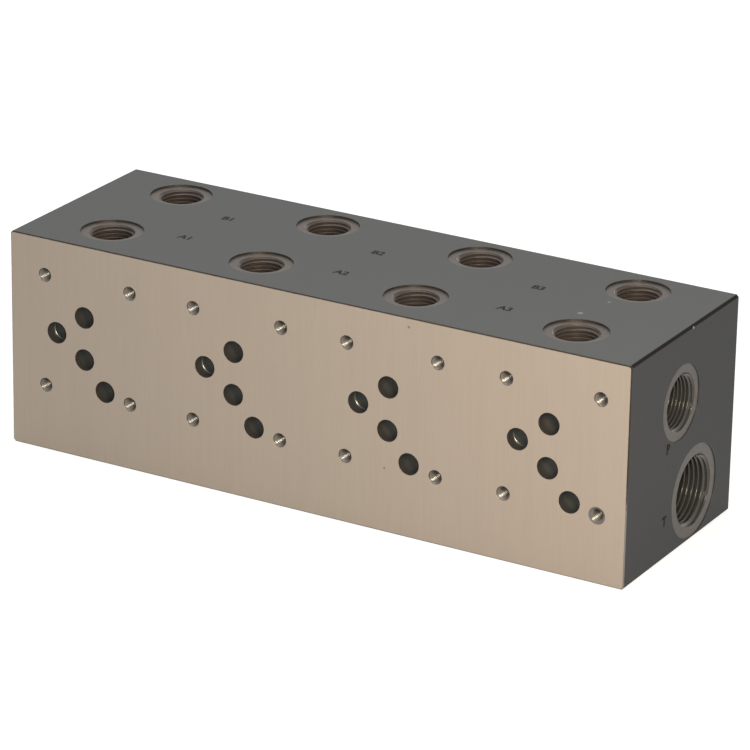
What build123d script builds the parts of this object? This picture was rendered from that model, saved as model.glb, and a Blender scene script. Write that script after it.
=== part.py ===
from build123d import *
import math
import os

# Four-station hydraulic manifold block, one machined steel bar, millimetres.
# +X runs along the bar, the valve face looks to -Y, +Z is up. The origin is the centre of the
# underside, so the bar stands on z = 0.

# ---- the bar ----
BAR_LENGTH = 319.0
BAR_DEPTH = 105.0
BAR_HEIGHT = 104.0
VALVE_EDGE_BREAK = 0.5
OUTER_EDGE_BREAK = 1.0

# ---- valve stations, size 10 pattern (ISO 4401-05) turned upright on the valve face ----
STATIONS = 4
STATION_PITCH = 80.0
FIRST_BOLT_FROM_END = 18.8
LOWER_BOLT_Z = 32.0
BOLT_SPAN_X = 46.0
BOLT_SPAN_Z = 54.0
VALVE_PORT_D = 10.4
# the pressure passage steps down to a smaller drill just below the valve face
PRESSURE_STEP_DEPTH = 5.7
PRESSURE_DRILL_D = 9.8
# port centres, measured from the lower left bolt of a station: along the bar, up
PORT_P = (6.3, 27.0)
PORT_A = (21.4, 37.3)
PORT_B = (21.4, 16.7)
PORT_T = (32.5, 3.2)

# ---- tapped holes for the valve bolts, M6 ----
M6_MAJOR_D = 6.0
M6_MOUTH_D = 6.8
M6_DEPTH = 16.0
# the last station's lower right hole is countersunk wider than the rest
M6_WIDE_MOUTH_D = 8.2
COUNTERSINK_ANGLE = 90.0
WIDE_COUNTERSINK_ANGLE = 140.0

# ---- tapped holes in the underside, M8 ----
M8_MAJOR_D = 8.0
M8_MOUTH_D = 9.0
M8_DEPTH = 15.0
FOOT_SPAN_X = 240.0
FOOT_SPAN_Y = 76.0

# ---- work ports on top, G 1/2 ----
WORK_PORT_FROM_BOLT = 20.3
WORK_ROW_A_FROM_FACE = 25.2
WORK_ROW_B_FROM_FACE = 84.2
G12_MAJOR_D = 20.955
G12_MOUTH_D = 21.4
G12_SPOT_D = 29.4
G12_SPOT_DEPTH = 0.9
G12_THREAD_DEPTH = 16.0
WORK_PASSAGE_D = 14.0

# ---- pressure port in both ends, G 3/4, and its gallery ----
PRESSURE_FROM_FACE = 49.9
PRESSURE_Z = 70.7
G34_MAJOR_D = 26.441
G34_MOUTH_D = 27.0
G34_SPOT_D = 35.2
G34_THREAD_DEPTH = 18.0
PRESSURE_GALLERY_D = 24.0

# ---- tank port in both ends, G 1, and its gallery ----
TANK_FROM_FACE = 66.6
TANK_Z = 23.1
G1_MAJOR_D = 33.249
G1_MOUTH_D = 33.9
G1_SPOT_D = 43.8
G1_THREAD_DEPTH = 20.0
TANK_GALLERY_D = 30.0

END_SPOT_DEPTH = 0.3
DRILL_POINT_ANGLE = 118.0

LEFT = -BAR_LENGTH / 2
FRONT = -BAR_DEPTH / 2
DOWN = (0, 0, -1)
INTO_FACE = (0, 1, 0)
UP = (0, 0, 1)


def point_length(diameter):
    """Height of the cone that a twist drill leaves."""
    return diameter / 2 / math.tan(math.radians(DRILL_POINT_ANGLE / 2))


def turned_cutter(profile, mouth, direction):
    """A cutter turned from (radius, depth) points; depth 0 lies on the face, at the mouth."""
    points = [(radius, -depth) for radius, depth in profile]
    outline = Polyline(*points, close=True)
    cutter = revolve(Plane.XZ * make_face(outline), Axis.Z)
    frame = Plane(origin=mouth, z_dir=tuple(-part for part in direction))
    return frame * cutter


def drilled(diameter, depth, mouth, direction):
    """A plain drilled hole with a drill point, open at the face."""
    radius = diameter / 2
    tip = depth + point_length(diameter)
    profile = [(0, -1), (radius, -1), (radius, depth), (0, tip)]
    return turned_cutter(profile, mouth, direction)


def tapped(major_d, mouth_d, sink_angle, depth, mouth, direction):
    """A blind tapped hole at its major diameter, with a countersunk lead-in at the mouth."""
    wall = major_d / 2
    slope = math.tan(math.radians(sink_angle / 2))
    lead = (mouth_d / 2 - wall) / slope
    tip = depth + point_length(major_d)
    above = (mouth_d / 2 + slope, -1)
    profile = [(0, -1), above, (wall, lead), (wall, depth), (0, tip)]
    return turned_cutter(profile, mouth, direction)


def spotfaced_port(major_d, mouth_d, spot_d, spot_depth, thread_depth, below_d, reach, mouth, into):
    """A threaded port under a spotface, tapering at its end into the passage below it."""
    wall = major_d / 2
    below = below_d / 2
    lead = (mouth_d - major_d) / 2
    full_thread = spot_depth + thread_depth
    profile = [
        (0, -1),
        (spot_d / 2, -1),
        (spot_d / 2, spot_depth),
        (mouth_d / 2, spot_depth),
        (wall, spot_depth + lead),
        (wall, full_thread),
        (below, full_thread + (wall - below) / 2),
        (below, reach),
        (0, reach + point_length(below_d)),
    ]
    return turned_cutter(profile, mouth, into)


def bar():
    """The squared bar with its edges broken, the valve face's edges more finely."""
    blank = Box(BAR_LENGTH, BAR_DEPTH, BAR_HEIGHT, align=(Align.CENTER, Align.CENTER, Align.MIN))
    face_edges = blank.edges().filter_by_position(Axis.Y, FRONT, FRONT)
    other_edges = blank.edges() - face_edges
    blank = chamfer(other_edges, OUTER_EDGE_BREAK)
    front_face = blank.faces().sort_by(Axis.Y)[0]
    return chamfer(front_face.edges(), VALVE_EDGE_BREAK)


def station_x(index):
    """Where the left bolts of a station lie along the bar."""
    return LEFT + FIRST_BOLT_FROM_END + index * STATION_PITCH


def valve_bolt_holes(index):
    """The four tapped holes that hold the valve."""
    cutters = []
    for column in (0, 1):
        for row in (0, 1):
            x = station_x(index) + column * BOLT_SPAN_X
            mouth = (x, FRONT, LOWER_BOLT_Z + row * BOLT_SPAN_Z)
            wide = (index, column, row) == (STATIONS - 1, 1, 0)
            mouth_d = M6_WIDE_MOUTH_D if wide else M6_MOUTH_D
            angle = WIDE_COUNTERSINK_ANGLE if wide else COUNTERSINK_ANGLE
            cutters.append(tapped(M6_MAJOR_D, mouth_d, angle, M6_DEPTH, mouth, INTO_FACE))
    return cutters


def pressure_passage(mouth):
    """The stepped pressure passage, open at the valve face and ending in its gallery."""
    wide = VALVE_PORT_D / 2
    narrow = PRESSURE_DRILL_D / 2
    step_end = PRESSURE_STEP_DEPTH + (wide - narrow)
    tip = PRESSURE_FROM_FACE + point_length(PRESSURE_DRILL_D)
    profile = [
        (0, -1),
        (wide, -1),
        (wide, PRESSURE_STEP_DEPTH),
        (narrow, step_end),
        (narrow, PRESSURE_FROM_FACE),
        (0, tip),
    ]
    return turned_cutter(profile, mouth, INTO_FACE)


def valve_passages(index):
    """The valve's four passages, each drilled from the valve face to what it feeds."""
    goals = (
        (PORT_A, WORK_ROW_A_FROM_FACE),
        (PORT_B, WORK_ROW_B_FROM_FACE),
        (PORT_T, TANK_FROM_FACE),
    )
    along, up = PORT_P
    cutters = [pressure_passage((station_x(index) + along, FRONT, LOWER_BOLT_Z + up))]
    for (along, up), depth in goals:
        mouth = (station_x(index) + along, FRONT, LOWER_BOLT_Z + up)
        cutters.append(drilled(VALVE_PORT_D, depth, mouth, INTO_FACE))
    return cutters


def work_ports(index):
    """A station's two ports on top, each with its passage down to the valve's passage."""
    x = station_x(index) + WORK_PORT_FROM_BOLT
    rows = ((WORK_ROW_A_FROM_FACE, PORT_A), (WORK_ROW_B_FROM_FACE, PORT_B))
    cutters = []
    for from_face, (along, up) in rows:
        reach = BAR_HEIGHT - LOWER_BOLT_Z - up
        mouth = (x, FRONT + from_face, BAR_HEIGHT)
        cutters.append(
            spotfaced_port(
                G12_MAJOR_D,
                G12_MOUTH_D,
                G12_SPOT_D,
                G12_SPOT_DEPTH,
                G12_THREAD_DEPTH,
                WORK_PASSAGE_D,
                reach,
                mouth,
                DOWN,
            )
        )
    return cutters


def gallery(from_face, z, major_d, mouth_d, spot_d, thread_depth, gallery_d):
    """A gallery bored from both ends to the middle, with the same threaded port in each end."""
    cutters = []
    for side in (-1, 1):
        mouth = (side * BAR_LENGTH / 2, FRONT + from_face, z)
        cutters.append(
            spotfaced_port(
                major_d,
                mouth_d,
                spot_d,
                END_SPOT_DEPTH,
                thread_depth,
                gallery_d,
                BAR_LENGTH / 2,
                mouth,
                (-side, 0, 0),
            )
        )
    return cutters


def foot_holes():
    """Four tapped holes in the underside."""
    cutters = []
    for x in (-FOOT_SPAN_X / 2, FOOT_SPAN_X / 2):
        for y in (-FOOT_SPAN_Y / 2, FOOT_SPAN_Y / 2):
            mouth = (x, y, 0)
            cutters.append(
                tapped(M8_MAJOR_D, M8_MOUTH_D, COUNTERSINK_ANGLE, M8_DEPTH, mouth, UP)
            )
    return cutters


def manifold_block():
    """The bar with every hole cut."""
    cutters = foot_holes()
    cutters += gallery(
        PRESSURE_FROM_FACE,
        PRESSURE_Z,
        G34_MAJOR_D,
        G34_MOUTH_D,
        G34_SPOT_D,
        G34_THREAD_DEPTH,
        PRESSURE_GALLERY_D,
    )
    cutters += gallery(
        TANK_FROM_FACE,
        TANK_Z,
        G1_MAJOR_D,
        G1_MOUTH_D,
        G1_SPOT_D,
        G1_THREAD_DEPTH,
        TANK_GALLERY_D,
    )
    for index in range(STATIONS):
        cutters += valve_bolt_holes(index)
        cutters += valve_passages(index)
        cutters += work_ports(index)
    return bar() - cutters


os.makedirs("parts", exist_ok=True)
block = manifold_block()
solids = block.solids()
print("solids", len(solids), "volume cm3", round(block.volume / 1000, 1))
print("steel mass kg", round(block.volume * 7.85e-6, 2))
export_step(solids[0], "parts/manifold_block.step")
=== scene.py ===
import math
from collections import namedtuple

import bmesh
import bpy
from mathutils import Matrix, Vector


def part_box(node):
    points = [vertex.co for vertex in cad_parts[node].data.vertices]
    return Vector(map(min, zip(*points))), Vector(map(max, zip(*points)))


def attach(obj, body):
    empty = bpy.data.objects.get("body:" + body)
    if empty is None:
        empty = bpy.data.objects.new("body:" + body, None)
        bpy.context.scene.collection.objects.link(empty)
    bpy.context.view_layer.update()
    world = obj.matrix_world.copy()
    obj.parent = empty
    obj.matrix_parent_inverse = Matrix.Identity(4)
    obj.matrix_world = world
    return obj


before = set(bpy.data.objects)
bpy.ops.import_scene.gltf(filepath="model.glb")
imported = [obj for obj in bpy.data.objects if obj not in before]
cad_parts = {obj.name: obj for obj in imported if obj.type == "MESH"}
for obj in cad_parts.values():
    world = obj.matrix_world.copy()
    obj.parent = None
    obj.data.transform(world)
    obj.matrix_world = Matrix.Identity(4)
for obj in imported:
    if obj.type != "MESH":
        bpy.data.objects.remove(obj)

# Dressing for a four-station hydraulic manifold block. Metres, in the block's own frame:
# +X along the bar, the valve face looks to -Y, +Z up, the underside on z = 0.

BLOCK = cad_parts["manifold_block"]
LOW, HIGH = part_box("manifold_block")
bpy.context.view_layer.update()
MM = 0.001

# ---- the bar ----
FACE_Y = LOW.y  # the valve face
TOP_Z = HIGH.z
END_X = HIGH.x
EDGE_WIDTH = 1.05 * MM  # no broken edge reaches further than this

# ---- valve stations, on the valve face ----
PITCH = 80.0 * MM
STATIONS = 4
FIRST_BOLT_X = LOW.x + 18.8 * MM
LOWER_BOLT_Z = 32.0 * MM
BOLT_SPAN = (46.0 * MM, 54.0 * MM)
BOLT_ZONE = 4.4 * MM  # radius that takes in the widest countersink
STEP_DEPTH = 5.85 * MM  # middle of the step in each pressure passage
VALVE_HOLE_REACH = 30 * MM  # passages count as the valve's down to this depth
VALVE_HOLES_FROM_Z = 27 * MM
VALVE_HOLES_TO_X = 150 * MM

# ---- ports and foot holes ----
WORK_PORT_X = FIRST_BOLT_X + 20.3 * MM
WORK_ROWS = (FACE_Y + 25.2 * MM, FACE_Y + 84.2 * MM)
PRESSURE_YZ = (FACE_Y + 49.9 * MM, 70.7 * MM)
TANK_YZ = (FACE_Y + 66.6 * MM, 23.1 * MM)
WORK_SEAT_REACH = 1.4 * MM  # the work seats and their lead-ins end above this depth
END_SEAT_REACH = 0.75 * MM
WORK_BORE_REACH = 40 * MM
WORK_BORE_SETBACK = 13 * MM  # clear of the valve face
BETWEEN_ROWS_Y = 14 * MM
BETWEEN_END_PORTS_Z = 47 * MM
FOOT_XY = (120.0 * MM, 38.0 * MM)

# ---- small marks of use: centre and radius ----
CHIP = ((END_X, 6.5 * MM, TOP_Z - 1.2 * MM), 0.8 * MM)
SPECKS = (((0.1108, -0.0070, TOP_Z), 1.6 * MM), ((0.1152, 0.0120, TOP_Z), 1.0 * MM))
STAINS = (((0.0505, FACE_Y, 0.0996), 0.8 * MM), ((0.0395, FACE_Y, 0.0306), 0.7 * MM))

# ---- colours: a pair is the two ends of a finish's grain ----
GROUND = ((0.325, 0.277, 0.231), (0.398, 0.341, 0.288))
GROUND_STRIPE = (0.306, 0.260, 0.219)
GROUND_BLOTCH = (0.374, 0.322, 0.272)
GROUND_RIM = (0.16, 0.13, 0.105)
STAIN = (0.10, 0.075, 0.055)
PHOSPHATED = ((0.040, 0.0415, 0.040), (0.057, 0.0595, 0.057))
# the ends' phosphate is a darker copy of the rest: painted shade for the end faces
PHOSPHATED_SHADED_END = ((0.0213, 0.0223, 0.0242), (0.0312, 0.0325, 0.0352))
PHOSPHATED_RIM = (0.030, 0.027, 0.024)
SOOT = (0.010, 0.009, 0.009)
SPECK = (0.42, 0.41, 0.39)
FRESH_CHIP = (0.36, 0.36, 0.345)
EDGE_BLACK = ((0.005, 0.0045, 0.0045), (0.014, 0.011, 0.009))
EDGE_BROWN = ((0.018, 0.014, 0.011), (0.066, 0.054, 0.045))
EDGE_LOW_PALE = (0.19, 0.185, 0.178)
INK = ((0.008, 0.0075, 0.007), (0.022, 0.021, 0.020))

# the bright end first for turned and bored steel
WORK_SEAT = ((0.108, 0.090, 0.076), (0.066, 0.055, 0.046))
END_SEAT = ((0.106, 0.092, 0.077), (0.066, 0.057, 0.047))
# the work port bores show between the thread ridges and are lighter than the thread: painted
# light in the grooves
WORK_BORE = ((0.120, 0.098, 0.085), (0.076, 0.062, 0.054))
WORK_THREAD = ((0.090, 0.073, 0.062), (0.058, 0.047, 0.040))
# the gallery bores show between the end ports' thread ridges and are lighter than the thread:
# painted light in the grooves
GALLERY = ((0.080, 0.076, 0.068), (0.050, 0.048, 0.043))
END_THREAD = ((0.055, 0.052, 0.046), (0.035, 0.033, 0.029))
BOLT_MOUTH = ((0.19, 0.172, 0.155), (0.12, 0.11, 0.10))
BOLT_THREAD = ((0.215, 0.198, 0.176), (0.137, 0.126, 0.112))
STEP = ((0.22, 0.22, 0.21), (0.14, 0.14, 0.135))
PASSAGE_MOUTH = ((0.040, 0.039, 0.036), (0.055, 0.055, 0.052))
# the lighter grey deeper in the passages is painted light, where little lamp light reaches
PASSAGE_INNER_PAINTED_LIGHT = ((0.15, 0.16, 0.155), (0.21, 0.22, 0.215))
PASSAGE_LIP = (0.055, 0.032, 0.022)

# ---- threads, in millimetres ----
# wall, crest and mouth are radii; start and end are the depths below the face of the mouth and
# of the full thread; lead is the depth of the lead-in for each millimetre of its width
Thread = namedtuple("Thread", "wall crest mouth pitch start end segments lead")
THREADS = {
    "G12": Thread(10.4775, 9.32, 10.7, 1.814, 0.9, 16.4, 56, 1.0),
    "G34": Thread(13.2205, 12.06, 13.5, 1.814, 0.3, 17.8, 64, 1.0),
    "G1": Thread(16.6245, 15.15, 16.95, 2.309, 0.3, 19.8, 72, 1.0),
    "M6": Thread(3.0, 2.48, 3.4, 1.0, 0.0, 15.6, 26, 1.0),
    "M6_wide": Thread(3.0, 2.48, 4.1, 1.0, 0.0, 15.6, 26, 0.364),
    "M8": Thread(4.0, 3.35, 4.5, 1.25, 0.0, 14.6, 28, 1.0),
}
# the rounded crest: how far each point stands back, as a share of the ridge's height, and its
# place along the axis, as a share of the pitch; the flanks end at FLANK_FOOT of the pitch
CREST_SHAPE = ((0.11, -0.135), (0.025, -0.065), (0.0, 0.0), (0.025, 0.065), (0.11, 0.135))
FLANK_FOOT = 0.46
SUNK = 0.04  # how deep the flanks' feet stand in the wall
BELOW_MOUTH = 0.02  # no thread stands nearer to the mouth than this
SHARP_FLANK = math.radians(35)

# ---- port marks, centres in millimetres; struck by hand, so a little off the even spacing ----
TOP_MARKS = {
    "A": ((-86.8, -17.5), (-3.3, -19.2), (80.4, -19.9)),
    "B": ((-83.9, 14.7), (-2.4, 12.0), (80.4, 11.2)),
}
END_MARKS = (("P", 38.6, 52.4), ("T", 37.8, 18.4))  # from the valve face, and height
TOP_MARK_HEIGHT = 4.2 * MM
TOP_MARK_SPREAD = 0.2 * MM  # how far the outline is spread, to make the stroke bolder
END_MARK_HEIGHT = 4.4 * MM
END_MARK_SPREAD = 0.3 * MM
CAPITAL_SHARE = 0.7  # height of a capital, as a share of the font's size
MARK_THICKNESS = 0.02 * MM

# ---- studio: name, place, aim, width, watts and colour of each lamp ----
MIDDLE = (0, 0, 0.05)
LAMPS = (
    ("front", (0.60, -1.05, 0.53), MIDDLE, 0.09, 7.0, (1.0, 0.95, 0.87)),
    ("side", (0.47, -0.46, 0.38), (0.04, 0, 0.05), 0.16, 2.9, (1.0, 0.83, 0.62)),
    ("overhead", (-0.25, 0.15, 1.3), MIDDLE, 1.0, 14.0, (0.95, 0.98, 1.0)),
    ("rear", (0.05, 1.30, 0.12), MIDDLE, 0.4, 2.6, (1.0, 1.0, 1.0)),
)
SURROUND_LIGHT = 0.20
FLOOR_SIZE = 12.0
FLOOR_GAP = 0.05 * MM  # keeps the floor from lying in the same plane as the underside
FLOOR_GREY = 0.42
FLOOR_GLOW = 0.72

# ---- camera: sensor and lens in millimetres, the rest in metres ----
SENSOR_WIDTH = 36.0
LENS = 210.512
EYE = (0.92405, -1.6113, 0.77862)
ACROSS = (0.865042, 0.501426, 0.016525)
UPWARD = (-0.196636, 0.308558, 0.930659)
BACKWARD = (0.461558, -0.808309, 0.365514)
FAR = 100.0


# ------------------------------------------------------------------ node helpers

def new_node(nodes, kind, **values):
    """A shader node with its settings given by name."""
    node = nodes.new(kind)
    for name, value in values.items():
        setattr(node, name, value)
    return node


def math_node(tree, operation, first, second=None, third=None, clamp=False):
    """The output of a Math node; each input is a socket or a number."""
    node = new_node(tree.nodes, "ShaderNodeMath", operation=operation, use_clamp=clamp)
    for index, value in enumerate((first, second, third)):
        if value is None:
            continue
        if isinstance(value, (int, float)):
            node.inputs[index].default_value = value
        else:
            tree.links.new(value, node.inputs[index])
    return node.outputs[0]


def mixed(tree, factor, first, second):
    """A colour mix of two sockets or colours."""
    node = new_node(tree.nodes, "ShaderNodeMix", data_type="RGBA", blend_type="MIX")
    node.clamp_factor = True
    for name, value in (("Factor_Float", factor), ("A_Color", first), ("B_Color", second)):
        socket = next(s for s in node.inputs if s.identifier == name)
        if isinstance(value, (int, float)):
            socket.default_value = value
        elif isinstance(value, tuple):
            socket.default_value = (*value, 1.0)
        else:
            tree.links.new(value, socket)
    return next(s for s in node.outputs if s.identifier == "Result_Color")


def tinted(tree, colour, mask, share, tint):
    """A colour with a tint laid over it through a mask, up to a share of it."""
    return mixed(tree, math_node(tree, "MULTIPLY", mask, share), colour, tint)


def parts_of(tree, vector):
    """The three parts of a vector, as sockets."""
    node = new_node(tree.nodes, "ShaderNodeSeparateXYZ")
    tree.links.new(vector, node.inputs[0])
    return node.outputs


def ramp(tree, value, low, high):
    """A value taken smoothly from 0 at low to 1 at high."""
    node = new_node(tree.nodes, "ShaderNodeMapRange", interpolation_type="SMOOTHSTEP")
    tree.links.new(value, node.inputs["Value"])
    node.inputs["From Min"].default_value = low
    node.inputs["From Max"].default_value = high
    return node.outputs["Result"]


def noise(tree, coords, scale, stretch=(1, 1, 1), detail=3.0, roughness=0.5, shift=(0, 0, 0)):
    """Noise on Object coordinates, its cells drawn out by stretch."""
    mapping = new_node(tree.nodes, "ShaderNodeMapping", vector_type="POINT")
    mapping.inputs["Scale"].default_value = stretch
    mapping.inputs["Location"].default_value = shift
    tree.links.new(coords, mapping.inputs["Vector"])
    node = new_node(tree.nodes, "ShaderNodeTexNoise")
    node.inputs["Scale"].default_value = scale
    node.inputs["Detail"].default_value = detail
    node.inputs["Roughness"].default_value = roughness
    tree.links.new(mapping.outputs[0], node.inputs["Vector"])
    return node.outputs["Fac"]


def new_group(name, inputs, outputs):
    """An empty shader group with its sockets; returns the tree and its two end nodes."""
    tree = bpy.data.node_groups.new(name, "ShaderNodeTree")
    for label, kind, default in inputs:
        socket = tree.interface.new_socket(label, in_out="INPUT", socket_type=kind)
        if default is not None:
            socket.default_value = default
    for label, kind in outputs:
        tree.interface.new_socket(label, in_out="OUTPUT", socket_type=kind)
    return tree, tree.nodes.new("NodeGroupInput"), tree.nodes.new("NodeGroupOutput")


def place(tree, group, coords, **values):
    """A group placed in a material, fed with coordinates and its own values."""
    node = new_node(tree.nodes, "ShaderNodeGroup", node_tree=group)
    tree.links.new(coords, node.inputs["Vector"])
    for label, value in values.items():
        node.inputs[label.replace("_", " ")].default_value = value
    return node


FLOAT = "NodeSocketFloat"
VECTOR = "NodeSocketVector"


def grain_group():
    """Fine drawn-out grain and slow blotches, both as masks about 0.5."""
    tree, given, result = new_group(
        "metal_grain",
        [("Vector", VECTOR, None), ("Stretch", VECTOR, (1, 1, 1)), ("Fineness", FLOAT, 1000.0)],
        [("Grain", FLOAT), ("Blotch", FLOAT)],
    )
    mapping = new_node(tree.nodes, "ShaderNodeMapping")
    tree.links.new(given.outputs["Vector"], mapping.inputs["Vector"])
    tree.links.new(given.outputs["Stretch"], mapping.inputs["Scale"])
    fine = new_node(tree.nodes, "ShaderNodeTexNoise")
    fine.inputs["Detail"].default_value = 4.0
    fine.inputs["Roughness"].default_value = 0.6
    tree.links.new(mapping.outputs[0], fine.inputs["Vector"])
    tree.links.new(given.outputs["Fineness"], fine.inputs["Scale"])
    slow = noise(tree, given.outputs["Vector"], 22.0, detail=3.0)
    tree.links.new(fine.outputs["Fac"], result.inputs["Grain"])
    tree.links.new(slow, result.inputs["Blotch"])
    return tree


def edge_group():
    """How near a point is to an outer edge of the bar: 1 at the edge, 0 beyond Width."""
    tree, given, result = new_group(
        "bar_edge",
        [("Vector", VECTOR, None), ("Width", FLOAT, 0.002)],
        [("Edge", FLOAT), ("Torn Edge", FLOAT)],
    )
    place_in_bar = parts_of(tree, given.outputs["Vector"])
    gaps = []
    for axis in range(3):
        middle = (LOW[axis] + HIGH[axis]) / 2
        half = (HIGH[axis] - LOW[axis]) / 2
        away = math_node(tree, "ABSOLUTE", math_node(
            tree, "SUBTRACT", place_in_bar[axis], middle))
        gaps.append(math_node(tree, "SUBTRACT", half, away))
    # the second smallest of the three gaps is the distance to the nearest edge
    smallest = math_node(tree, "MINIMUM", math_node(tree, "MINIMUM", gaps[0], gaps[1]), gaps[2])
    largest = math_node(tree, "MAXIMUM", math_node(tree, "MAXIMUM", gaps[0], gaps[1]), gaps[2])
    total = math_node(tree, "ADD", math_node(tree, "ADD", gaps[0], gaps[1]), gaps[2])
    second = math_node(tree, "SUBTRACT", math_node(tree, "SUBTRACT", total, smallest), largest)
    reach = math_node(tree, "DIVIDE", second, given.outputs["Width"])
    edge = math_node(tree, "SUBTRACT", 1.0, reach, clamp=True)
    torn = math_node(tree, "ADD", edge, math_node(tree, "MULTIPLY", noise(
        tree, given.outputs["Vector"], 420.0, detail=4.0, roughness=0.7), 0.8))
    tree.links.new(edge, result.inputs["Edge"])
    tree.links.new(ramp(tree, torn, 0.95, 1.2), result.inputs["Torn Edge"])
    return tree


def ring_group():
    """Turning marks round an axis, and a painted sheen round it: two light and two dark sectors.
    Station Pitch repeats the axis along X. Weights are 0 along the axis and 1 across it."""
    tree, given, result = new_group(
        "turning_marks",
        [
            ("Vector", VECTOR, None),
            ("Centre", VECTOR, (0, 0, 0)),
            ("Station Pitch", FLOAT, 0.0),
            ("Weights", VECTOR, (1, 1, 0)),
            ("Ring Spacing", FLOAT, 0.0004),
        ],
        [("Rings", FLOAT), ("Painted Sheen", FLOAT)],
    )
    offset = new_node(tree.nodes, "ShaderNodeVectorMath", operation="SUBTRACT")
    tree.links.new(given.outputs["Vector"], offset.inputs[0])
    tree.links.new(given.outputs["Centre"], offset.inputs[1])
    from_centre = parts_of(tree, offset.outputs[0])
    half = math_node(tree, "MULTIPLY", given.outputs["Station Pitch"], 0.5)
    wrapped = math_node(
        tree, "WRAP", from_centre[0], half, math_node(tree, "MULTIPLY", half, -1.0))
    joined = new_node(tree.nodes, "ShaderNodeCombineXYZ")
    tree.links.new(wrapped, joined.inputs[0])
    tree.links.new(from_centre[1], joined.inputs[1])
    tree.links.new(from_centre[2], joined.inputs[2])
    flat = new_node(tree.nodes, "ShaderNodeVectorMath", operation="MULTIPLY")
    tree.links.new(joined.outputs[0], flat.inputs[0])
    tree.links.new(given.outputs["Weights"], flat.inputs[1])
    length = new_node(tree.nodes, "ShaderNodeVectorMath", operation="LENGTH")
    tree.links.new(flat.outputs[0], length.inputs[0])
    turns = math_node(tree, "DIVIDE", length.outputs["Value"], given.outputs["Ring Spacing"])
    wobble = noise(tree, given.outputs["Vector"], 160.0, detail=2.0)
    wave = math_node(tree, "SINE", math_node(tree, "ADD", math_node(
        tree, "MULTIPLY", turns, math.tau), math_node(tree, "MULTIPLY", wobble, 3.0)))
    tree.links.new(math_node(tree, "MULTIPLY_ADD", wave, 0.5, 0.5), result.inputs["Rings"])
    across = parts_of(tree, flat.outputs[0])
    rest = math_node(tree, "ADD", across[1], across[2])
    angle = math_node(tree, "ARCTAN2", across[0], rest)
    painted_sheen = math_node(tree, "SINE", math_node(tree, "MULTIPLY", angle, 2.0))
    tree.links.new(math_node(tree, "MULTIPLY_ADD", painted_sheen, 0.5, 0.5), result.inputs["Painted Sheen"])
    return tree


GRAIN = grain_group()
EDGE = edge_group()
RINGS = ring_group()


def new_material(name):
    """A material with its shader, its object coordinates and its tree."""
    material = bpy.data.materials.new(name)
    material.use_nodes = True
    tree = material.node_tree
    shader = tree.nodes["Principled BSDF"]
    coords = new_node(tree.nodes, "ShaderNodeTexCoord").outputs["Object"]
    return material, tree, shader, coords


def bump(tree, shader, height, strength, distance):
    """A Bump node that feeds the shader's normal."""
    node = new_node(tree.nodes, "ShaderNodeBump")
    node.inputs["Strength"].default_value = strength
    node.inputs["Distance"].default_value = distance
    tree.links.new(height, node.inputs["Height"])
    tree.links.new(node.outputs[0], shader.inputs["Normal"])


def rough(tree, shader, mask, spread, least):
    """Roughness that goes from least up to least + spread with a mask."""
    value = math_node(tree, "MULTIPLY_ADD", mask, spread, least)
    tree.links.new(value, shader.inputs["Roughness"])


def spot(tree, coords, centre, radius):
    """A soft round spot about a point: 1 out to half its radius, 0 beyond it."""
    away = new_node(tree.nodes, "ShaderNodeVectorMath", operation="DISTANCE")
    tree.links.new(coords, away.inputs[0])
    away.inputs[1].default_value = centre
    gone = ramp(tree, away.outputs["Value"], radius * 0.5, radius)
    return math_node(tree, "SUBTRACT", 1.0, gone)


# ------------------------------------------------------------------ finishes

def ground_steel():
    """The valve face: bare steel, ground up and down, warm grey."""
    material, tree, shader, coords = new_material("ground_valve_face")
    grain = place(tree, GRAIN, coords, Stretch=(1.0, 1.0, 0.02), Fineness=2600.0)
    coarse = noise(tree, coords, 240.0, stretch=(1, 1, 0.03), detail=2.0, shift=(0.3, 0, 0.1))
    colour = mixed(tree, grain.outputs["Grain"], *GROUND)
    colour = tinted(tree, colour, ramp(tree, coarse, 0.35, 0.75), 0.14, GROUND_STRIPE)
    colour = tinted(tree, colour, grain.outputs["Blotch"], 0.25, GROUND_BLOTCH)
    edge = place(tree, EDGE, coords, Width=1.6 * MM)
    colour = tinted(tree, colour, edge.outputs["Torn Edge"], 0.45, GROUND_RIM)
    for stain in STAINS:
        colour = tinted(tree, colour, spot(tree, coords, *stain), 0.75, STAIN)
    tree.links.new(colour, shader.inputs["Base Color"])
    rough(tree, shader, grain.outputs["Grain"], 0.16, 0.40)
    shader.inputs["Metallic"].default_value = 0.15
    bump(tree, shader, grain.outputs["Grain"], 0.12, 0.03 * MM)
    return material


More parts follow.
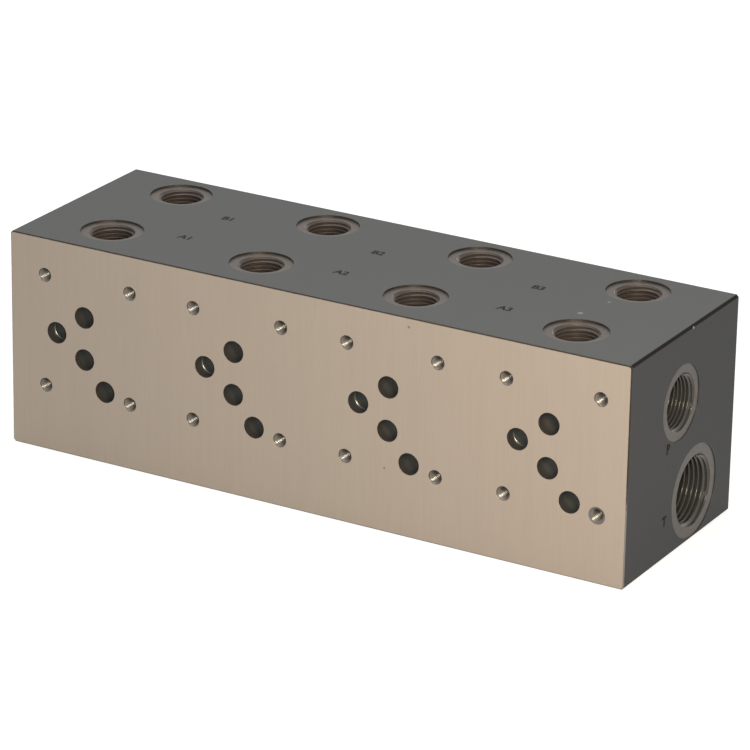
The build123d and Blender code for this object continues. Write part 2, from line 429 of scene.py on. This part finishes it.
def phosphated_steel(name, low, high):
    """The other outer faces: dark, matt, evenly mottled."""
    material, tree, shader, coords = new_material(name)
    grain = place(tree, GRAIN, coords, Stretch=(1.0, 1.0, 1.0), Fineness=900.0)
    fine = noise(tree, coords, 3200.0, detail=2.0)
    colour = mixed(tree, grain.outputs["Grain"], low, high)
    light, middling = (tuple(share * part for part in high) for share in (1.33, 0.86))
    colour = tinted(tree, colour, ramp(tree, fine, 0.55, 0.75), 0.25, light)
    colour = tinted(tree, colour, grain.outputs["Blotch"], 0.35, middling)
    edge = place(tree, EDGE, coords, Width=2.2 * MM)
    colour = tinted(tree, colour, edge.outputs["Torn Edge"], 0.5, PHOSPHATED_RIM)
    # a black line along the edges, but not by the valve face
    rim = place(tree, EDGE, coords, Width=1.6 * MM)
    off_face = ramp(tree, parts_of(tree, coords)[1], FACE_Y + 1.5 * MM, FACE_Y + 3 * MM)
    black = math_node(tree, "MULTIPLY", ramp(tree, rim.outputs["Edge"], 0.02, 0.26), off_face)
    colour = mixed(tree, black, colour, SOOT)
    colour = mixed(tree, spot(tree, coords, *CHIP), colour, FRESH_CHIP)
    for speck in SPECKS:
        colour = tinted(tree, colour, spot(tree, coords, *speck), 0.32, SPECK)
    tree.links.new(colour, shader.inputs["Base Color"])
    rough(tree, shader, grain.outputs["Grain"], 0.18, 0.54)
    shader.inputs["Specular IOR Level"].default_value = 0.35
    bump(tree, shader, grain.outputs["Grain"], 0.15, 0.04 * MM)
    return material


def dark_edge():
    """The broken edges: black round the top and ends, brown along the valve face, and pale
    grey low on the upright edges."""
    material, tree, shader, coords = new_material("broken_edges")
    wear = noise(tree, coords, 260.0, detail=5.0, roughness=0.7)
    slow = noise(tree, coords, 30.0, detail=2.0)
    _, y, z = parts_of(tree, coords)
    black = mixed(tree, slow, *EDGE_BLACK)
    brown = mixed(tree, wear, *EDGE_BROWN)
    by_face = ramp(tree, y, FACE_Y + 1.2 * MM, FACE_Y + 0.6 * MM)
    by_top = ramp(tree, z, 20 * MM, 75 * MM)
    colour = mixed(tree, by_face, black, brown)
    low = math_node(tree, "SUBTRACT", 1.0, by_top)
    pale_share = math_node(tree, "MULTIPLY_ADD", low, 0.55, math_node(
        tree, "MULTIPLY", wear, 0.5))
    pale_share = math_node(tree, "MULTIPLY_ADD", by_face, 0.14, pale_share)
    # pale grey low on the upright edges
    colour = mixed(tree, ramp(tree, pale_share, 0.66, 0.90), colour, EDGE_LOW_PALE)
    colour = mixed(tree, spot(tree, coords, *CHIP), colour, FRESH_CHIP)
    tree.links.new(colour, shader.inputs["Base Color"])
    shader.inputs["Roughness"].default_value = 0.7
    shader.inputs["Specular IOR Level"].default_value = 0.08
    return material


def turned_finish(name, centre, pitch, weights, bright, dull, spacing):
    """Bare steel cut by a turning tool about an axis: a spotface, its wall and lead-in."""
    material, tree, shader, coords = new_material(name)
    rings = place(tree, RINGS, coords, Centre=centre, Station_Pitch=pitch, Weights=weights,
                  Ring_Spacing=spacing)
    grain = place(tree, GRAIN, coords, Stretch=(1.0, 1.0, 1.0), Fineness=700.0)
    colour = mixed(tree, rings.outputs["Rings"], dull, bright)
    # painted sheen: darker sectors round the axis stand in for the sheen of turned steel
    colour = tinted(tree, colour, rings.outputs["Painted Sheen"], 0.35, dull)
    stained = tuple(0.55 * part for part in dull)
    colour = tinted(tree, colour, ramp(tree, grain.outputs["Grain"], 0.50, 0.70), 0.6, stained)
    tree.links.new(colour, shader.inputs["Base Color"])
    rough(tree, shader, rings.outputs["Rings"], 0.12, 0.34)
    shader.inputs["Metallic"].default_value = 0.7
    bump(tree, shader, rings.outputs["Rings"], 0.35, 0.02 * MM)
    return material


def bored_finish(name, bright, dull, roughness, metallic, film=0.0, sheen=0.5):
    """The inside of a drilled or tapped hole: steel with a film of oil."""
    material, tree, shader, coords = new_material(name)
    grain = place(tree, GRAIN, coords, Stretch=(1.0, 1.0, 1.0), Fineness=520.0)
    colour = mixed(tree, grain.outputs["Grain"], dull, bright)
    colour = tinted(tree, colour, ramp(tree, grain.outputs["Blotch"], 0.45, 0.7), 0.4, dull)
    tree.links.new(colour, shader.inputs["Base Color"])
    rough(tree, shader, grain.outputs["Grain"], 0.2, roughness)
    shader.inputs["Metallic"].default_value = metallic
    shader.inputs["Specular IOR Level"].default_value = sheen
    shader.inputs["Coat Weight"].default_value = film
    shader.inputs["Coat Roughness"].default_value = 0.15
    bump(tree, shader, grain.outputs["Grain"], 0.2, 0.03 * MM)
    return material


def passage_finish():
    """The valve passages: phosphated brown at the mouth, and a lighter grey further in that is
    painted light for the depths.
    """
    material, tree, shader, coords = new_material("valve_passages")
    inward = math_node(tree, "SUBTRACT", parts_of(tree, coords)[1], FACE_Y)
    grain = place(tree, GRAIN, coords, Stretch=(1.0, 1.0, 1.0), Fineness=520.0)
    shallow = mixed(tree, grain.outputs["Grain"], *PASSAGE_MOUTH)
    painted_inner_light = mixed(tree, grain.outputs["Grain"], *PASSAGE_INNER_PAINTED_LIGHT)
    # painted light: lighter further in
    colour = mixed(tree, ramp(tree, inward, 2.0 * MM, 14.0 * MM), shallow, painted_inner_light)
    colour = mixed(tree, ramp(tree, inward, 1.2 * MM, 0.2 * MM), colour, PASSAGE_LIP)
    tree.links.new(colour, shader.inputs["Base Color"])
    shader.inputs["Roughness"].default_value = 0.55
    shader.inputs["Metallic"].default_value = 0.1
    bump(tree, shader, grain.outputs["Grain"], 0.2, 0.03 * MM)
    return material


def stamped_ink():
    """The dark, slightly uneven fill of the stamped port marks."""
    material, tree, shader, coords = new_material("stamped_letters")
    colour = mixed(tree, noise(tree, coords, 900.0, detail=3.0), *INK)
    tree.links.new(colour, shader.inputs["Base Color"])
    shader.inputs["Roughness"].default_value = 0.7
    shader.inputs["Specular IOR Level"].default_value = 0.06
    return material


# ------------------------------------------------------------------ the block's own faces

FLUSH = 0.02 * MM  # how near its plane a face of the bar lies
SQUARE_ON = 0.9  # normals nearer to an axis than this look straight along it
SLANTED = 0.75  # and normals below this look along none
DIAGONAL = 0.707
SMOOTH_UP_TO = math.radians(28)
FLAT_ZONES = ("ground", "phosphated", "phosphated_shaded_end")
ROUND_Z = (1, 1, 0)  # weights for turning marks about an upright axis
ROUND_X = (0, 1, 1)  # and about an axis along the bar
NO_REPEAT = 1.0


def by_bolt_hole(centre):
    """Whether a point lies in or at one of the valve bolt holes."""
    along = (centre.x - FIRST_BOLT_X) % PITCH
    aside = min(abs(along - target) for target in (0, BOLT_SPAN[0], PITCH))
    away = min(abs(centre.z - LOWER_BOLT_Z - target) for target in (0, BOLT_SPAN[1]))
    return math.hypot(aside, away) < BOLT_ZONE


def face_zone(centre, normal):
    """Which finish a face of the block takes."""
    if centre.y < FACE_Y + FLUSH and normal.y < -SQUARE_ON:
        return "ground"
    for axis in range(3):
        outer = centre[axis] > HIGH[axis] - FLUSH or centre[axis] < LOW[axis] + FLUSH
        if outer and abs(normal[axis]) > SQUARE_ON:
            return "phosphated_shaded_end" if axis == 0 else "phosphated"
    close = [min(centre[a] - LOW[a], HIGH[a] - centre[a]) < EDGE_WIDTH for a in range(3)]
    slanted = max(abs(normal.x), abs(normal.y), abs(normal.z)) < SLANTED
    if sum(close) >= 2 and slanted:
        return "edge"
    if centre.z > TOP_Z - WORK_SEAT_REACH:
        return "work_front" if centre.y < 0 else "work_back"
    if abs(centre.x) > END_X - END_SEAT_REACH:
        return "pressure" if centre.z > BETWEEN_END_PORTS_Z else "tank"
    under_a_row = centre.y > FACE_Y + WORK_BORE_SETBACK and abs(centre.y) > BETWEEN_ROWS_Y
    if centre.z > TOP_Z - WORK_BORE_REACH and under_a_row:
        return "work_bore"
    at_step = abs(centre.y - (FACE_Y + STEP_DEPTH)) < 0.25 * MM
    if at_step and abs(-normal.y - DIAGONAL) < 0.1:
        return "valve_step"
    among_valve_holes = centre.z > VALVE_HOLES_FROM_Z and abs(centre.x) < VALVE_HOLES_TO_X
    if centre.y < FACE_Y + VALVE_HOLE_REACH and among_valve_holes:
        return "bolt_bore" if by_bolt_hole(centre) else "valve_bore"
    return "bore"


def work_seat(row, y):
    """The finish of one row of work port seats."""
    centre = (WORK_PORT_X, y, 0)
    return turned_finish("work_port_seats_" + row, centre, PITCH, ROUND_Z, *WORK_SEAT, 0.55 * MM)


def end_seat(port, yz):
    """The finish of the two seats of one gallery, which share an axis."""
    name = port + "_port_seat"
    return turned_finish(name, (0, *yz), NO_REPEAT, ROUND_X, *END_SEAT, 0.6 * MM)


def dress_block():
    """Gives every face of the block its finish, the flat ones flat and the bores round."""
    finishes = {
        "ground": ground_steel(),
        "phosphated": phosphated_steel("phosphated_faces", *PHOSPHATED),
        # a darker copy of the phosphate for the end faces: painted shade
        "phosphated_shaded_end": phosphated_steel("phosphated_painted_shade_ends", *PHOSPHATED_SHADED_END),
        "edge": dark_edge(),
        "work_front": work_seat("front", WORK_ROWS[0]),
        "work_back": work_seat("back", WORK_ROWS[1]),
        "pressure": end_seat("pressure", PRESSURE_YZ),
        "tank": end_seat("tank", TANK_YZ),
        "work_bore": bored_finish(
            "work_port_bores", *WORK_BORE, roughness=0.42, metallic=0.2, film=0.5, sheen=0.25),
        "valve_bore": passage_finish(),
        "bolt_bore": bored_finish("bolt_hole_mouths", *BOLT_MOUTH, roughness=0.36, metallic=0.5),
        "valve_step": bored_finish("pressure_steps", *STEP, roughness=0.24, metallic=0.9),
        "bore": bored_finish(
            "gallery_bores", *GALLERY, roughness=0.45, metallic=0.15, film=0.5, sheen=0.2),
    }
    order = list(finishes)
    mesh = BLOCK.data
    mesh.materials.clear()
    for name in order:
        mesh.materials.append(finishes[name])
    for polygon in mesh.polygons:
        zone = face_zone(polygon.center, polygon.normal)
        polygon.material_index = order.index(zone)
        polygon.use_smooth = zone not in FLAT_ZONES
    weld = BLOCK.modifiers.new("weld", "WELD")
    weld.merge_threshold = 1e-6
    split = BLOCK.modifiers.new("sharp_edges", "EDGE_SPLIT")
    split.split_angle = SMOOTH_UP_TO


# ------------------------------------------------------------------ threads

def thread_mesh(size):
    """A helical thread ridge for one hole, its axis on Z and the face at z = 0, going down.
    Near the mouth the crest is cut back to the lead-in, as a countersink cuts it."""
    wall, crest, mouth, pitch, start, end, segments, lead = THREADS[size]
    bm = bmesh.new()
    root = wall + SUNK
    ridge = wall - crest
    tip = [(crest + back * ridge, along * pitch) for back, along in CREST_SHAPE]
    profile = [(root, -FLANK_FOOT * pitch), *tip, (root, FLANK_FOOT * pitch)]
    points = [bm.verts.new((radius, 0, -start + rise)) for radius, rise in profile]
    edges = [bm.edges.new((points[i], points[i + 1])) for i in range(len(points) - 1)]
    turns = (end - start - 0.5 * pitch) / pitch
    steps = round(turns * segments)
    bmesh.ops.spin(
        bm,
        geom=points + edges,
        cent=(0, 0, 0),
        axis=(0, 0, 1),
        dvec=(0, 0, -pitch / segments),
        angle=math.tau * steps / segments,
        steps=steps,
        use_merge=False,
        use_duplicate=False,
    )
    for vert in bm.verts:
        radius = math.hypot(vert.co.x, vert.co.y)
        if radius < wall:
            depth = -vert.co.z - start
            kept = min(max(radius, mouth - max(depth, 0.0) / lead), root)
            vert.co.x *= kept / radius
            vert.co.y *= kept / radius
        vert.co.z = min(vert.co.z, -start - BELOW_MOUTH)
    bmesh.ops.recalc_face_normals(bm, faces=bm.faces)
    inward = sum(face.normal.xy.dot(face.calc_center_median().xy) for face in bm.faces)
    if inward > 0:
        bmesh.ops.reverse_faces(bm, faces=bm.faces)
    bmesh.ops.scale(bm, vec=(MM, MM, MM), verts=bm.verts)
    for face in bm.faces:
        face.smooth = True
    return bm


def thread_set(name, size, mouths, outward, material):
    """One piece with a thread in each mouth of a set of equal holes."""
    made = thread_mesh(size)
    turn = Vector((0, 0, 1)).rotation_difference(Vector(outward)).to_matrix().to_4x4()
    source = bpy.data.meshes.new(name + "_one")
    made.to_mesh(source)
    made.free()
    whole = bmesh.new()
    for mouth in mouths:
        before = set(whole.verts)
        whole.from_mesh(source)
        added = [vert for vert in whole.verts if vert not in before]
        bmesh.ops.transform(whole, matrix=Matrix.Translation(mouth) @ turn, verts=added)
    mesh = bpy.data.meshes.new(name)
    whole.to_mesh(mesh)
    whole.free()
    bpy.data.meshes.remove(source)
    mesh.materials.append(material)
    piece = bpy.data.objects.new(name, mesh)
    bpy.context.scene.collection.objects.link(piece)
    split = piece.modifiers.new("sharp_flanks", "EDGE_SPLIT")
    split.split_angle = SHARP_FLANK
    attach(piece, "root")


def add_threads():
    """The threads of the work, pressure, tank, valve-bolt and foot holes."""
    port = bored_finish(
        "work_port_threads", *WORK_THREAD, roughness=0.32, metallic=0.5, sheen=0.2)
    end = bored_finish(
        "end_port_threads", *END_THREAD, roughness=0.22, metallic=0.35, film=0.7, sheen=0.2)
    small = bored_finish(
        "bolt_threads", *BOLT_THREAD, roughness=0.22, metallic=0.55, sheen=0.4)
    stations = range(STATIONS)
    work = [(WORK_PORT_X + i * PITCH, y, TOP_Z) for i in stations for y in WORK_ROWS]
    thread_set("work_port_threads", "G12", work, (0, 0, 1), port)
    for side, name in ((1, "right"), (-1, "left")):
        x = side * END_X
        thread_set("pressure_thread_" + name, "G34", [(x, *PRESSURE_YZ)], (side, 0, 0), end)
        thread_set("tank_thread_" + name, "G1", [(x, *TANK_YZ)], (side, 0, 0), end)
    bolts = [
        (FIRST_BOLT_X + i * PITCH + dx, FACE_Y, LOWER_BOLT_Z + dz)
        for i in stations
        for dx in (0, BOLT_SPAN[0])
        for dz in (0, BOLT_SPAN[1])
    ]
    # the lower right hole of the last station has the wide countersink
    wide = bolts[-2]
    bolts.remove(wide)
    thread_set("valve_bolt_threads", "M6", bolts, (0, -1, 0), small)
    thread_set("valve_bolt_thread_wide", "M6_wide", [wide], (0, -1, 0), small)
    feet = [(sx * FOOT_XY[0], sy * FOOT_XY[1], 0) for sx in (-1, 1) for sy in (-1, 1)]
    thread_set("foot_bolt_threads", "M8", feet, (0, 0, -1), small)


# ------------------------------------------------------------------ port marks

def stamped_letter(name, letter, height, spread, matrix, material):
    """A port mark: a thin fill that lies just on the face."""
    curve = bpy.data.curves.new(name, "FONT")
    curve.body = letter
    curve.size = height / CAPITAL_SHARE
    curve.align_x = "CENTER"
    curve.align_y = "CENTER"
    curve.extrude = MARK_THICKNESS
    curve.offset = spread
    text = bpy.data.objects.new(name + "_text", curve)
    bpy.context.scene.collection.objects.link(text)
    bpy.context.view_layer.update()
    mesh = bpy.data.meshes.new_from_object(text.evaluated_get(
        bpy.context.evaluated_depsgraph_get()))
    bpy.data.objects.remove(text)
    mesh.transform(matrix)
    mesh.name = name
    mesh.materials.clear()
    mesh.materials.append(material)
    piece = bpy.data.objects.new(name, mesh)
    bpy.context.scene.collection.objects.link(piece)
    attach(piece, "root")


def add_letters():
    """Plain port marks: A and B with a number on top, P and T by the end ports."""
    ink = stamped_ink()
    for letter, places in TOP_MARKS.items():
        for i, (x, y) in enumerate(places):
            name = f"letter_{letter}_{i + 1}"
            matrix = Matrix.Translation((x * MM, y * MM, TOP_Z))
            mark = f"{letter}{i + 1}"
            stamped_letter(name, mark, TOP_MARK_HEIGHT, TOP_MARK_SPREAD, matrix, ink)
    for side in (1, -1):
        turn = Matrix.Rotation(side * math.pi / 2, 4, "Z") @ Matrix.Rotation(math.pi / 2, 4, "X")
        for letter, y, z in END_MARKS:
            name = f"letter_{letter}_{'right' if side > 0 else 'left'}"
            matrix = Matrix.Translation((side * END_X, FACE_Y + y * MM, z * MM)) @ turn
            stamped_letter(name, letter, END_MARK_HEIGHT, END_MARK_SPREAD, matrix, ink)


# ------------------------------------------------------------------ studio

def area_lamp(name, place_at, aim, size, power, colour):
    """A square area lamp aimed at a point, itself not seen."""
    lamp = bpy.data.lights.new(name, "AREA")
    lamp.size = size
    lamp.energy = power
    lamp.color = colour
    piece = bpy.data.objects.new(name, lamp)
    piece.location = place_at
    direction = Vector(aim) - Vector(place_at)
    piece.rotation_euler = direction.to_track_quat("-Z", "Y").to_euler()
    piece.visible_camera = False
    bpy.context.scene.collection.objects.link(piece)


def white_where_seen(tree, lit, dim):
    """A strength of 1 for camera, glossy and transmitted rays, and dim for the rest."""
    path = new_node(tree.nodes, "ShaderNodeLightPath")
    seen = math_node(tree, "MAXIMUM", path.outputs["Is Camera Ray"], math_node(
        tree, "MAXIMUM", path.outputs["Is Glossy Ray"], path.outputs["Is Transmission Ray"]))
    return math_node(tree, "MULTIPLY_ADD", seen, lit - dim, dim)


def studio():
    """A white floor and surround, and the lamps."""
    world = bpy.data.worlds.new("studio")
    bpy.context.scene.world = world
    world.use_nodes = True
    tree = world.node_tree
    background = tree.nodes["Background"]
    background.inputs["Color"].default_value = (1, 1, 1, 1)
    tree.links.new(white_where_seen(tree, 1.0, SURROUND_LIGHT), background.inputs["Strength"])

    mesh = bpy.data.meshes.new("floor")
    bm = bmesh.new()
    just_under = Matrix.Translation((0, 0, -FLOOR_GAP))
    bmesh.ops.create_grid(bm, x_segments=1, y_segments=1, size=FLOOR_SIZE, matrix=just_under)
    bm.to_mesh(mesh)
    bm.free()
    floor = bpy.data.objects.new("floor", mesh)
    bpy.context.scene.collection.objects.link(floor)
    material = bpy.data.materials.new("white_floor")
    material.use_nodes = True
    tree = material.node_tree
    tree.nodes.clear()
    diffuse = new_node(tree.nodes, "ShaderNodeBsdfDiffuse")
    diffuse.inputs["Color"].default_value = (FLOOR_GREY, FLOOR_GREY, FLOOR_GREY, 1)
    glow = new_node(tree.nodes, "ShaderNodeEmission")
    tree.links.new(white_where_seen(tree, FLOOR_GLOW, 0.0), glow.inputs["Strength"])
    both = new_node(tree.nodes, "ShaderNodeAddShader")
    result = new_node(tree.nodes, "ShaderNodeOutputMaterial")
    tree.links.new(diffuse.outputs[0], both.inputs[0])
    tree.links.new(glow.outputs[0], both.inputs[1])
    # clear from underneath, so that the underside can be looked at
    side = new_node(tree.nodes, "ShaderNodeNewGeometry")
    clear = new_node(tree.nodes, "ShaderNodeBsdfTransparent")
    pick = new_node(tree.nodes, "ShaderNodeMixShader")
    tree.links.new(side.outputs["Backfacing"], pick.inputs[0])
    tree.links.new(both.outputs[0], pick.inputs[1])
    tree.links.new(clear.outputs[0], pick.inputs[2])
    tree.links.new(pick.outputs[0], result.inputs["Surface"])
    mesh.materials.append(material)

    for lamp in LAMPS:
        area_lamp(*lamp)


def camera():
    """The view from the front right, a little above."""
    data = bpy.data.cameras.new("view")
    data.sensor_width = SENSOR_WIDTH
    data.lens = LENS
    data.clip_end = FAR
    piece = bpy.data.objects.new("view", data)
    turn = Matrix((ACROSS, UPWARD, BACKWARD)).transposed().to_4x4()
    piece.matrix_world = Matrix.Translation(EYE) @ turn
    bpy.context.scene.collection.objects.link(piece)
    bpy.context.scene.camera = piece


dress_block()
add_threads()
add_letters()
studio()
camera()
bpy.context.scene.view_settings.view_transform = "Standard"
